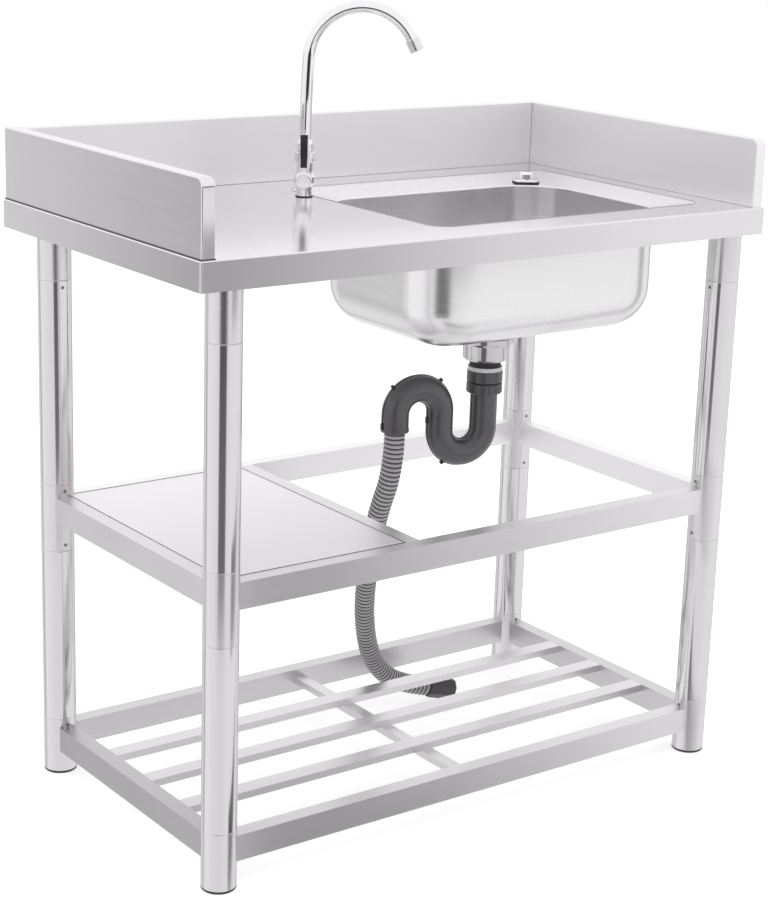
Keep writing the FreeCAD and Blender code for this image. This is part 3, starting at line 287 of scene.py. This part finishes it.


# ------------------------------------------------------------------ worktop and splash guards
# Folded and pressed stainless sheet, brushed along its length and almost mirror bright, with a
# rougher finish in the well, where a painted sheen lifts the colour. The guards are folded boxes
# welded along the deck.
painted_well_sheen, well_softness = (0.96, 0.945, 0.96), 0.12


def brushed_steel(name, dark, light, roughness, along="x", scratch=0.000010, wave=0.00008, smudge=0.06,
                  streak=0.05, green=0.972, well=None):
    """Stainless sheet: fine scratches along one or two axes, a slow waviness and wiping marks.

    The well is a left, right, front and back limit, inside which the sheet is rougher and a painted sheen
    lifts its colour.
    """
    make = Finish(name)
    stretch = [0.02 if axis in along else 1.0 for axis in "xyz"]
    fine = make.noise(1500.0, 2.0, stretch, 0.6)
    coarse = make.noise(260.0, 3.0, stretch, 0.55)
    cloud = make.noise(5.0, 4.0, (1.0, 1.0, 1.0), 0.6)
    slow = make.noise(3.2, 1.0)
    share = coarse * 0.45 + cloud * 0.35 + fine * 0.2
    colour = make.mixed(share, (dark, dark * green, dark), (light, light * green, light))
    rough = roughness - smudge * 0.5 - streak * 0.5 + cloud * smudge + coarse * streak
    if well:
        # Inside the well the colour is lifted by painted sheen, and the finish is rougher.
        inside = make.within(0, well[0], well[1]) * make.within(1, well[2], well[3])
        colour = make.mixed(inside, colour, painted_well_sheen)
        rough = rough + inside * well_softness
    gentle = make.bump(slow, wave)
    grain = make.bump(fine * 0.6 + coarse * 0.4, scratch, normal=gentle)
    return make.finish(Base_Color=colour, Metallic=1.0, Roughness=rough, Normal=grain)


well_left, well_right, well_front, well_back, well_corner = -0.065, 0.394, -0.188, 0.167, 0.026
dress(brushed_steel("sheet_steel", 0.77, 0.85, 0.15, streak=0.04, smudge=0.05,
                    well=(well_left, well_right, well_front, well_back)), "worktop")
dress(brushed_steel("back_sheet_steel", 0.88, 0.93, 0.50, wave=0.00004, green=0.985), "guard_back")
dress(brushed_steel("left_sheet_steel", 0.76, 0.84, 0.20, along="y", wave=0.00004), "guard_left")
dress(brushed_steel("right_sheet_steel", 0.86, 0.92, 0.48, along="y", wave=0.00004, green=0.985),
      "guard_right")

# Fine ground weld lines where the guards stand on the deck and meet in the back corners.
guard_in_x, guard_in_y, guard_front, deck_height, guard_top = 0.4285, 0.2285, -0.247, 0.800, 0.8920
guard_feet = ((-guard_in_x, guard_front), (-guard_in_x, guard_in_y), (guard_in_x, guard_in_y),
              (guard_in_x, guard_front))


def bead(name, runs, thickness):
    """A thin ridge of metal that follows closed or open runs of points, as one mesh."""
    deselect()
    for points, closed in runs:
        line = bpy.data.curves.new(name, "CURVE")
        line.dimensions = "3D"
        line.bevel_depth = thickness
        line.bevel_resolution = 2
        line.use_fill_caps = True
        run = line.splines.new("POLY")
        run.points.add(len(points) - 1)
        for knot, spot in zip(run.points, points):
            knot.co = (*spot, 1.0)
        run.use_cyclic_u = closed
        ridge = bpy.data.objects.new(name, line)
        bpy.context.scene.collection.objects.link(ridge)
        ridge.select_set(True)
        bpy.context.view_layer.objects.active = ridge
    bpy.ops.object.convert(target="MESH")
    if len(runs) > 1:
        bpy.ops.object.join()
    whole = bpy.context.object
    whole.name = name
    whole.data.name = name
    whole.data.materials.clear()
    return whole


corner_runs = [([(x, guard_in_y, deck_height), (x, guard_in_y, guard_top)], False)
               for x in (-guard_in_x, guard_in_x)]
foot_run = ([(x, y, deck_height) for x, y in guard_feet], False)
guard_weld = bead("guard_weld", [foot_run] + corner_runs, 0.0006)
weld_and_fold_shade_steel = brushed_steel("weld_and_fold_shade_steel", 0.34, 0.48, 0.38, along="xy")
guard_weld.data.materials.append(weld_and_fold_shade_steel)
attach(guard_weld, "table")

# A dark hairline runs along the outside of the left guard and round its front end.
outer_x, outer_y, seam_height = -0.4476, 0.2475, 0.8007
seam_points = ((outer_x, outer_y, seam_height), (outer_x, -outer_y, seam_height),
               (-guard_in_x, -outer_y, seam_height))
guard_seam = bead("guard_seam", [(seam_points, False)], 0.0008)
joint_steel = brushed_steel("joint_steel", 0.10, 0.18, 0.5, along="xy")
guard_seam.data.materials.append(joint_steel)
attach(guard_seam, "table")

# ------------------------------------------------------------------ basin
# Deep-drawn stainless bowl with a satin skin, welded to the well under its rim.
dress(brushed_steel("bowl_steel", 0.80, 0.88, 0.26, along="xy", streak=0.08, green=0.988), "basin")

# The bowl's rim is welded to the well and rounded; the bright steel of its bead is a painted highlight.
bowl_left, bowl_right, bowl_front, bowl_back = -0.061, 0.345, -0.184, 0.104
bowl_corner, rim_height = 0.072, 0.790

def rounded_outline(left, right, front, back, corner, height):
    """Points round a rectangle with rounded corners, seen from above."""
    points, steps = [], 12
    for centre_x, centre_y, first in (
        (right - corner, back - corner, 0),
        (left + corner, back - corner, 90),
        (left + corner, front + corner, 180),
        (right - corner, front + corner, 270),
    ):
        for k in range(steps + 1):
            angle = math.radians(first + 90 * k / steps)
            x, y = centre_x + corner * math.cos(angle), centre_y + corner * math.sin(angle)
            points.append((x, y, height))
    return points


rim_points = rounded_outline(bowl_left, bowl_right, bowl_front, bowl_back, bowl_corner, rim_height)
bowl_rim = bead("bowl_rim", [(rim_points, True)], 0.0015)
bowl_rim.data.materials.append(brushed_steel("painted_rim_highlight_steel", 0.92, 0.97, 0.35, along="xy"))
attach(bowl_rim, "table")

# A fine grey bead along the fold where the well drops below the deck is painted shade.
fold_points = rounded_outline(well_left, well_right, well_front, well_back, well_corner, deck_height)
well_fold = bead("well_fold", [(fold_points, True)], 0.0006)
well_fold.data.materials.append(weld_and_fold_shade_steel)
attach(well_fold, "table")

# ------------------------------------------------------------------ legs, rails and shelves
# Polished round tubes between satin sleeves, locked by grub screws, with rectangular rails
# welded to the sleeves, a folded shelf panel and three long bars. Some rails take lit or shaded
# copies of the rail steel: painted light on the right and back middle rails, painted shade on
# the lower left, back and right rails.
corners = ("front_left", "front_right", "back_left", "back_right")
tube_steel = brushed_steel("tube_steel", 0.68, 0.76, 0.16, along="z",
                           scratch=0.000008, wave=0.00003, streak=0.04)
sleeve_steel = brushed_steel("sleeve_steel", 0.68, 0.77, 0.27, along="z",
                             scratch=0.000012, wave=0.00003)
rail_steel = brushed_steel("rail_steel", 0.72, 0.80, 0.38, along="x")
side_rail_steel = brushed_steel("side_rail_steel", 0.73, 0.81, 0.36, along="y")
# A lit copy of the rail steel is painted light; the two darker copies below are painted shade.
painted_light_rail_steel = brushed_steel("painted_light_rail_steel", 0.90, 0.96, 0.42, along="xy", green=0.985)
painted_shade_low_left_steel = brushed_steel("painted_shade_low_left_steel", 0.50, 0.58, 0.34, along="y")
painted_shade_low_rear_steel = brushed_steel("painted_shade_low_rear_steel", 0.61, 0.69, 0.36, along="xy")
for corner in corners:
    dress(tube_steel, "upper_leg_" + corner, "lower_leg_" + corner)
    dress(sleeve_steel, "leg_socket_" + corner, "mid_sleeve_" + corner, "low_sleeve_" + corner)
dress(rail_steel, "mid_rail_front", "low_rail_front", "low_shelf_grid")
dress(side_rail_steel, "mid_rail_left", "mid_cross_bar")
# The right and back middle rails get painted light, the lower left, back and right rails painted shade.
dress(painted_light_rail_steel, "mid_rail_right", "mid_rail_back")
dress(painted_shade_low_left_steel, "low_rail_left")
dress(painted_shade_low_rear_steel, "low_rail_back", "low_rail_right")
dress(brushed_steel("panel_steel", 0.86, 0.94, 0.46, along="x", wave=0.00015, green=0.98),
      "mid_shelf_panel")

# The panel is let in between the rails, which leaves a dark hairline all round it.
panel_left, panel_right, panel_front, panel_back, rail_top = -0.392, -0.121, -0.214, 0.187, 0.402
panel_corners = ((panel_left, panel_front), (panel_right, panel_front), (panel_right, panel_back),
                 (panel_left, panel_back))
panel_joint = bead("panel_joint", [([(x, y, rail_top) for x, y in panel_corners], True)], 0.0006)
panel_joint.data.materials.append(joint_steel)
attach(panel_joint, "table")

dress(brushed_steel("screw_steel", 0.30, 0.48, 0.32, along="z"), "set_screws")
dress(moulded_plastic("foot_plastic", (0.012, 0.012, 0.013), (0.03, 0.03, 0.032), 0.55), "feet")


# ------------------------------------------------------------------ tap
# Chrome-plated brass tap with a high swivel spout, a flat side lever that carries a black face,
# and a screwed-on nozzle. A rubber ring seals it to the deck.
def plated(name, dark, light, roughness):
    """Chrome plate with faint water marks and the softest unevenness."""
    make = Finish(name)
    cloud = make.noise(45.0, 4.0)
    fine = make.noise(1200.0, 2.0)
    colour = make.mixed(cloud, dark, light)
    rough = roughness + cloud * 0.05 + fine * 0.02
    return make.finish(Base_Color=colour, Metallic=1.0, Roughness=rough, Normal=make.bump(cloud, 0.00006))


chrome = plated("chrome", (0.80, 0.80, 0.82), (0.90, 0.90, 0.92), 0.012)
dress(chrome, "tap_body", "tap_collar", "tap_spout", "tap_lever")
dress(plated("nozzle_chrome", (0.70, 0.70, 0.72), (0.82, 0.82, 0.84), 0.14), "tap_aerator")
rubber = moulded_plastic("rubber", (0.010, 0.010, 0.011), (0.026, 0.026, 0.028), 0.62, blotch=80.0)
dress(rubber, "tap_gasket", "hole_cap_washer", "drain_gasket", "outlet_seal")
brass = plated("brass", (0.62, 0.46, 0.20), (0.74, 0.58, 0.28), 0.22)
dress(brass, "tap_cartridge", "tap_back_nut")

# The lever's black face is a thin inlay that stands a little proud of the blade.
tap_axis = Vector((-0.0772, 0.0983, 0.0))
hub_angle = -126
hub_way = Vector((math.cos(math.radians(hub_angle)), math.sin(math.radians(hub_angle)), 0))
hub_reach, lever_cap, blade_step = 0.025, 0.009, 0.001
blade_face = tap_axis + hub_way * (hub_reach + lever_cap - blade_step)
face_low, face_high, face_half, face_thick, face_sink = 0.8430, 0.8815, 0.0043, 0.0012, 0.0001
black_enamel = moulded_plastic("black_enamel", (0.006, 0.006, 0.007), (0.012, 0.012, 0.013), 0.30,
                               blotch=50.0, depth=0.00001)
deselect()
bpy.ops.mesh.primitive_cube_add(size=1.0, location=(0, 0, 0))
lever_face = bpy.context.object
lever_face.name = "lever_face"
lever_face.scale = (2 * face_half, face_thick, face_high - face_low)
lever_face.rotation_euler = (0, 0, math.radians(hub_angle + 90))
lever_face.location = blade_face + Vector((0, 0, (face_low + face_high) / 2)) - hub_way * face_sink
bpy.ops.object.transform_apply(location=True, rotation=True, scale=True)
softened = lever_face.modifiers.new("softened", "BEVEL")
softened.width = 0.0005
softened.segments = 3
bpy.ops.object.modifier_apply(modifier="softened")
bpy.ops.object.shade_smooth_by_angle(angle=math.radians(40))
lever_face.data.materials.append(black_enamel)
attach(lever_face, "lever")

# ------------------------------------------------------------------ blanking cap
# Chrome cap with a stepped knob on a rubber washer, closing the spare tap hole.
dress(chrome, "hole_cap")

# ------------------------------------------------------------------ drain, trap and nuts
# Steel strainer in a dark plastic body, a rubber seal, a pale washer, two slip nuts and the
# moulded S-trap, which has a parting line along its outer edges and small moulding tabs.
dress(brushed_steel("strainer_steel", 0.50, 0.66, 0.16, along="z"),
      "drain_basket", "drain_cup", "drain_lock_ring")
dress(moulded_plastic("washer_plastic", (0.42, 0.42, 0.43), (0.54, 0.54, 0.55), 0.45), "outlet_washer",
      "hole_cap_nut")
dress(moulded_plastic("nut_plastic", (0.030, 0.029, 0.032), (0.052, 0.050, 0.054), 0.32, gloss=0.8),
      "slip_nut_upper", "slip_nut_lower")
trap_plastic = moulded_plastic("trap_plastic", (0.040, 0.038, 0.042), (0.066, 0.062, 0.068), 0.30,
                               gloss=0.8)
dress(trap_plastic, "trap")

drain_axis = Vector((0.133, -0.048, 0.0))
limb_bearing = math.radians(170)
limb_way = Vector((math.cos(limb_bearing), math.sin(limb_bearing), 0))
trap_radius, trap_bend = 0.0190, 0.0343
low_bend, high_bend, nut_edge, outlet_end = 0.4844, 0.5122, 0.5325, 0.4960


def trap_edge(side):
    """Points along one outer edge of the trap, in its own plane: reach from the inlet and height."""
    spots = [(side * trap_radius, nut_edge)]
    for k in range(25):
        angle = math.pi * k / 24
        radius = trap_bend - side * trap_radius
        spots.append((trap_bend - radius * math.cos(angle), low_bend - radius * math.sin(angle)))
    for k in range(25):
        angle = math.pi * k / 24
        radius = trap_bend + side * trap_radius
        spots.append((3 * trap_bend - radius * math.cos(angle), high_bend + radius * math.sin(angle)))
    spots.append((4 * trap_bend + side * trap_radius, outlet_end))
    return spots


trap_runs = []
for side in (-1, 1):
    places = [drain_axis + limb_way * away + Vector((0, 0, height)) for away, height in trap_edge(side)]
    trap_runs.append((places, False))
parting_line = bead("trap_parting_line", trap_runs, 0.0009)
edge_plastic = moulded_plastic("edge_plastic", (0.008, 0.008, 0.009), (0.018, 0.017, 0.018), 0.35)
parting_line.data.materials.append(edge_plastic)
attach(parting_line, "table")

# Small moulding tabs that are left on the parting line. Each has its reach from the inlet, its
# height and its turn from level.
tab_size = (0.0090, 0.0050, 0.0046)
bend_edge = trap_bend + trap_radius


def over_bend(centre, height, degrees, rising):
    """Place on a bend's outer edge, at an angle from upright, and the turn of a tab there."""
    turned = math.radians(degrees)
    return (centre + bend_edge * math.sin(turned), height + rising * bend_edge * math.cos(turned),
            -degrees * rising)


tab_turns = (
    over_bend(3 * trap_bend, high_bend, -38, 1),
    over_bend(3 * trap_bend, high_bend, 45, 1),
    over_bend(trap_bend, low_bend, 30, -1),
    (2 * trap_bend + trap_radius, 0.500, 90),
    (4 * trap_bend + trap_radius, 0.497, 90),
)
for number, (away, height, lean_over) in enumerate(tab_turns):
    deselect()
    bpy.ops.mesh.primitive_cube_add(size=1.0, location=(0, 0, 0))
    tab = bpy.context.object
    tab.name = "trap_tab_%d" % (number + 1)
    tab.scale = tab_size
    tab.rotation_euler = (0, math.radians(lean_over), limb_bearing)
    tab.location = drain_axis + limb_way * away + Vector((0, 0, height))
    bpy.ops.object.transform_apply(location=True, rotation=True, scale=True)
    softened = tab.modifiers.new("softened", "BEVEL")
    softened.width = 0.0007
    softened.segments = 2
    bpy.ops.object.modifier_apply(modifier="softened")
    tab.data.materials.append(edge_plastic)
    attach(tab, "table")

# ------------------------------------------------------------------ floor and studio light
# A pale floor and an even white studio. Narrow dark strips in the surround and grey cards that
# only reflections show give the tubes, the tap and the skirt their dark streaks.
floor_make = Finish("floor_paint")
floor_cloud = floor_make.noise(1.3, 3.0)
floor_paint = floor_make.finish(
    Base_Color=floor_make.mixed(floor_cloud, (0.50, 0.50, 0.50), (0.52, 0.52, 0.52)), Roughness=0.9,
    Emission_Color=(1.0, 1.0, 1.0, 1.0), Emission_Strength=0.62)
deselect()
bpy.ops.mesh.primitive_plane_add(size=14.0, location=(0, 0, -0.0005))
floor = bpy.context.object
floor.name = "studio_floor"
floor.data.materials.append(floor_paint)
floor.visible_glossy = False

world = bpy.data.worlds.new("studio")
bpy.context.scene.world = world
studio = Finish("studio", world)
heading = studio.node("TexCoord", None, output="Generated")
parts = studio.node("SeparateXYZ", None, heading)
east = Value(studio, parts.socket.node.outputs[0])
north = Value(studio, parts.socket.node.outputs[1])
rise = Value(studio, parts.socket.node.outputs[2])
bearing = studio.node("Math", {"operation": "ARCTAN2"}, east, 0 - north) / (2 * math.pi) + 0.5


def bearing_stop(degrees, level):
    return (degrees / 360 + 0.5, level)


around = studio.node("ValToRGB", {"stops": [
    bearing_stop(-180, 0.86), bearing_stop(-158, 0.88), bearing_stop(-153, 0.74), bearing_stop(-149, 0.38),
    bearing_stop(-146, 0.34), bearing_stop(-143, 0.60), bearing_stop(-140, 1.0), bearing_stop(-125, 1.06),
    bearing_stop(-60, 0.94), bearing_stop(-20, 0.92), bearing_stop(20, 1.0), bearing_stop(60, 1.0),
    bearing_stop(107, 0.95), bearing_stop(114, 0.14), bearing_stop(122, 0.9), bearing_stop(160, 1.0),
    bearing_stop(168, 0.30), bearing_stop(176, 0.86),
]}, bearing)
sky_share = studio.node("MapRange", {"interpolation_type": "SMOOTHSTEP"}, rise, -0.06, 0.12, 0.0, 1.0)
floor_share = studio.node("MapRange", {"interpolation_type": "SMOOTHSTEP"}, rise, -0.75, -0.5, 1.0, 0.0)
low_surround = studio.mixed(floor_share, around, (0.95, 0.95, 0.95))
surround = studio.mixed(sky_share, low_surround, (1.06, 1.06, 1.06))
seen = studio.node("LightPath", None, output="Is Camera Ray")
backdrop = studio.mixed(seen, surround, (1.0, 1.0, 1.0))
glow = studio.node("Background", None, backdrop, 1.0)
world_end = studio.tree.nodes.new("ShaderNodeOutputWorld")
studio.tree.links.new(glow.socket, world_end.inputs["Surface"])


def softbox(name, place, aim, width, power):
    data = bpy.data.lights.new(name, "AREA")
    data.shape = "SQUARE"
    data.size = width
    data.energy = power
    lamp = bpy.data.objects.new(name, data)
    bpy.context.scene.collection.objects.link(lamp)
    lamp.location = place
    lamp.rotation_mode = "QUATERNION"
    lamp.rotation_quaternion = (Vector(aim) - Vector(place)).to_track_quat("-Z", "Y")
    lamp.visible_glossy = False
    return lamp


softbox("overhead_softbox", (-0.4, -0.6, 3.4), (0, 0, 0.4), 2.6, 42.0)
softbox("left_softbox", (-2.8, -0.8, 1.8), (0, 0, 0.5), 1.6, 16.0)


def card(name, middle, bearing, width, tall, levels, rising=False):
    """A grey card that only reflections show: its levels lie along it, or up it, from -0.5 to 0.5."""
    make = Finish(name)
    spot = make.node("TexCoord", None, output="Object")
    share = make.node("SeparateXYZ", None, spot, output=1 if rising else 0) + 0.5
    shade = make.node("ValToRGB", {"stops": [(place + 0.5, level) for place, level in levels]}, share)
    paint = make.finish(Base_Color=(0.0, 0.0, 0.0, 1.0), Roughness=1.0, Emission_Color=shade,
                        Emission_Strength=1.0)
    deselect()
    bpy.ops.mesh.primitive_plane_add(size=1.0, location=middle,
                                     rotation=(math.radians(90), 0, math.radians(bearing)))
    held = bpy.context.object
    held.name = name
    held.scale = (width, tall, 1.0)
    held.data.materials.append(paint)
    for ray in ("camera", "diffuse", "shadow", "transmission", "volume_scatter"):
        setattr(held, "visible_" + ray, False)


# The dark card draws the band down every leg, and the tap card the streak up the tap's riser. The
# other three darken the skirt and the front rails towards their left ends.
card("dark_card", (-0.80, -0.87, 0.495), -40, 0.60, 0.83,
     ((-0.5, 0.16), (-0.14, 0.15), (0.10, 0.09), (0.235, 0.03), (0.5, 0.02)), rising=True)
card("tap_card", (-0.147, -0.90, 0.885), -4, 0.69, 0.15,
     ((-0.5, 0.02), (0.0, 0.04), (0.2, 0.12), (0.35, 0.5), (0.5, 0.9)))
card("skirt_card", (0.23, -0.464, 0.732), 0, 1.14, 0.12,
     ((-0.5, 0.38), (-0.39, 0.47), (-0.24, 0.60), (-0.05, 0.80), (0.22, 0.91), (0.5, 0.95)))
card("middle_card", (0.255, -0.450, 0.297), 0, 1.09, 0.15,
     ((-0.5, 0.20), (-0.417, 0.26), (-0.216, 0.49), (-0.032, 0.69), (0.151, 0.88), (0.27, 1.0),
      (0.5, 1.05)))
card("lower_card", (0.255, -0.450, -0.075), 0, 1.09, 0.15,
     ((-0.5, 0.09), (-0.417, 0.12), (-0.216, 0.18), (0.06, 0.56), (0.25, 0.90), (0.5, 1.02)))
bpy.context.scene.view_settings.view_transform = "Standard"
